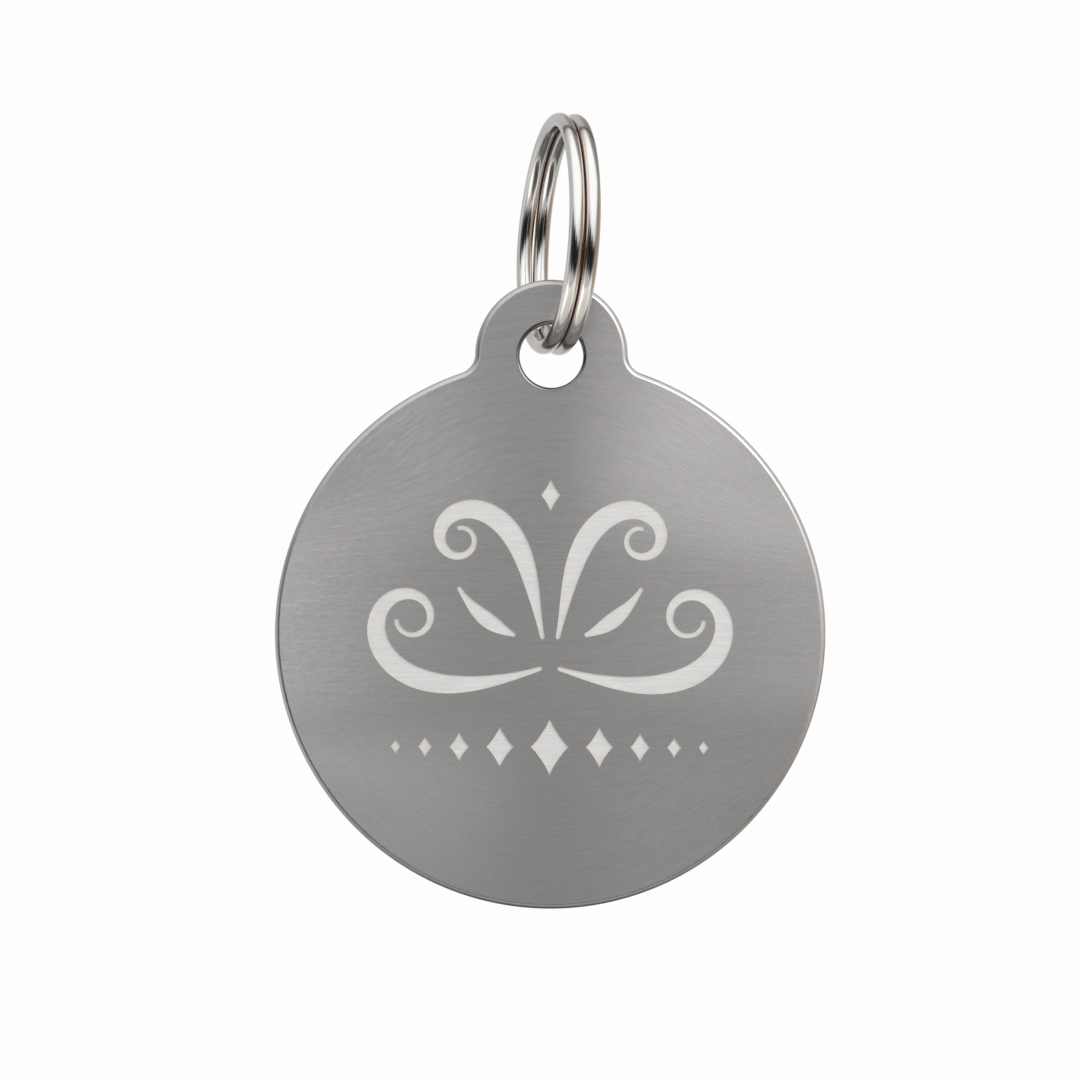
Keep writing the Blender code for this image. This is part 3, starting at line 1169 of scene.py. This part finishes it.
def patched_room(tree):
    """The room's colour by direction."""
    looking = add_node(tree, "ShaderNodeTexCoord").outputs["Generated"]
    colour = ROOM
    for azimuth, elevation, inner, outer, patch in PATCHES.values():
        nearness = nearness_to(tree, looking, azimuth, elevation)
        share = smooth_step(nearness, cosine(outer), cosine(inner))
        colour = mix_colours(tree, share, colour, patch)
    return mix_colours(tree, seam_share(tree, looking), colour, SEAM_COLOUR)


# %% [markdown]
# A Light Path node tells the world which kind of ray asks for its colour: one from the camera,
# one from a mirror or a clear thing, or one from a surface that scatters.

# %% White world
SOFT_LIGHT = 0.66


def share_of_rays(tree, *kinds):
    """1 for rays of these kinds, and 0 for the others."""
    rays = add_node(tree, "ShaderNodeLightPath")
    found = [Formula(tree, rays.outputs[kind]) for kind in kinds]
    share = found[0]
    for kind in found[1:]:
        share = maths("MAXIMUM", share, kind)
    return share


def white_world():
    """White to the camera, the room to mirrors, and soft light to the rest."""
    world = bpy.data.worlds.new("white_studio")
    world.use_nodes = True
    tree = world.node_tree
    mirrored = share_of_rays(tree, "Is Glossy Ray", "Is Transmission Ray")
    seen = share_of_rays(tree, "Is Camera Ray")
    colour = mix_colours(tree, mirrored, (SOFT_LIGHT,) * 3, patched_room(tree))
    colour = mix_colours(tree, seen, colour, (WHITE,) * 3)
    tree.links.new(colour, tree.nodes["Background"].inputs["Color"])
    scene.world = world


white_world()
print("patches in the mirrored room:", len(PATCHES))

# %% [markdown]
# A small round table stands below the tag. It is as white to the camera as the background,
# apart from a share of its own shade, so that it keeps the tag's faint shadow.

# %% Pale table
TABLE_RADIUS = 95 * MM
TABLE_BELOW = 35 * MM
TABLE_FACETS = 128
TABLE_GLOW = 0.85
TABLE_DARK = (0.88, 0.88, 0.88)
TABLE_LIGHT = (0.92, 0.92, 0.92)
PAPER_GRAINS = 0.8


def pale_table():
    """Pale paper that the camera sees mostly as white."""
    material, tree, shader = new_finish("pale_table", metallic=0.0)
    place = place_in_mm(tree, Vector((0.0, 0.0, 0.0)))
    shade_between(tree, shader, TABLE_DARK, TABLE_LIGHT, even_noise(tree, place, PAPER_GRAINS, 3.0))
    shader.inputs["Roughness"].default_value = 0.9
    glow = add_node(tree, "ShaderNodeEmission")
    feed(tree, glow.inputs["Strength"], WHITE)
    mixed = add_node(tree, "ShaderNodeMixShader")
    feed(tree, mixed.inputs[0], TABLE_GLOW * share_of_rays(tree, "Is Camera Ray"))
    tree.links.new(shader.outputs[0], mixed.inputs[1])
    tree.links.new(glow.outputs[0], mixed.inputs[2])
    tree.links.new(mixed.outputs[0], tree.nodes["Material Output"].inputs["Surface"])
    return material


def make_table():
    """A round table top below the tag."""
    mesh = bpy.data.meshes.new("table_top")
    shape = bmesh.new()
    bmesh.ops.create_circle(shape, cap_ends=True, segments=TABLE_FACETS, radius=TABLE_RADIUS)
    shape.to_mesh(mesh)
    shape.free()
    mesh.transform(Matrix.Translation((disc_centre.x, 0.0, plate_low[2] - TABLE_BELOW)))
    mesh.materials.append(pale_table())
    table = add_object("table_top", mesh)
    table.visible_glossy = False


make_table()
print(f"table {2 * TABLE_RADIUS / MM:.0f} mm across, {TABLE_BELOW / MM:.0f} mm below the tag")

# %% [markdown]
# Soft lamps light the tag: a key from the upper right, a weaker strip on each side of the
# lens for the brushed face, and for the rounded rim a softbox far to each side, a low card
# and a card behind. Two cream cards below brighten the ring. A lamp's strength is given as
# how bright its own surface is, where 1 is white, and turned into watts by its area. In a
# studio, flags keep a lamp for one piece from glaring in the other. Blender's light linking
# does the same: each lamp lights the one piece that it is meant for.

# %% Lamps
# Degrees to the right of the lens and up, distance, width and height, brightness
TAG_LAMPS = {
    "key_softbox": (27, 27, 168 * MM, (105 * MM, 73 * MM), 2.78),
    "left_strip": (-9.5, 5, 217 * MM, (30 * MM, 108 * MM), 1.64),
    "right_strip": (18, -1, 141 * MM, (82 * MM, 130 * MM), 0.28),
    "left_softbox": (-78, -11, 130 * MM, (85 * MM, 90 * MM), 0.40),
    "right_softbox": (66, -4, 130 * MM, (100 * MM, 100 * MM), 0.72),
    "low_card": (14, -52, 110 * MM, (130 * MM, 70 * MM), 0.22),
    "back_card": (107, 32, 130 * MM, (90 * MM, 180 * MM), 0.60),
}
RING_LAMPS = {
    "left_card": (-63, -39, 70 * MM, (46 * MM, 30 * MM), 0.44),
    "front_card": (4, -71, 60 * MM, (160 * MM, 54 * MM), 0.52),
}
LAMP_TINT = (1.0, 1.0, 1.0)
CARD_TINT = (1.0, 0.94, 0.86)


def make_lamp(name, lit, tint, azimuth, elevation, distance, size, brightness):
    """A soft lamp that looks at the middle of one piece and lights that piece alone."""
    data = bpy.data.lights.new(name, "AREA")
    data.shape = "RECTANGLE"
    data.size, data.size_y = size
    data.energy = brightness * math.pi * data.size * data.size_y
    data.color = tint
    lamp = add_object(name, data)
    direction = Vector(towards(azimuth, elevation))
    middle = disc_centre if lit == tag else swing_axis / 2
    place = Matrix.Translation(middle + direction * distance)
    lamp.matrix_world = place @ direction.to_track_quat("Z", "Y").to_matrix().to_4x4()
    lamp.visible_camera = False
    lamp.light_linking.receiver_collection = bpy.data.collections.new(f"lit_by_{name}")
    lamp.light_linking.receiver_collection.objects.link(lit)


for lamps, piece, tint in ((TAG_LAMPS, tag, LAMP_TINT), (RING_LAMPS, ring, CARD_TINT)):
    for lamp_name, facts in lamps.items():
        make_lamp(lamp_name, piece, tint, *facts)
print("lamps for the tag:", len(TAG_LAMPS), "and for the ring:", len(RING_LAMPS))

# %% [markdown]
# The pieces now take their places in the frame: the tag swings with its body, the ring stays
# with the one that hangs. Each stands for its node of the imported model.

# %% Hand the pieces to the frame
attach(tag, "tag")
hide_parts("tag_plate")
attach(ring, "ring")
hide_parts("split_ring")
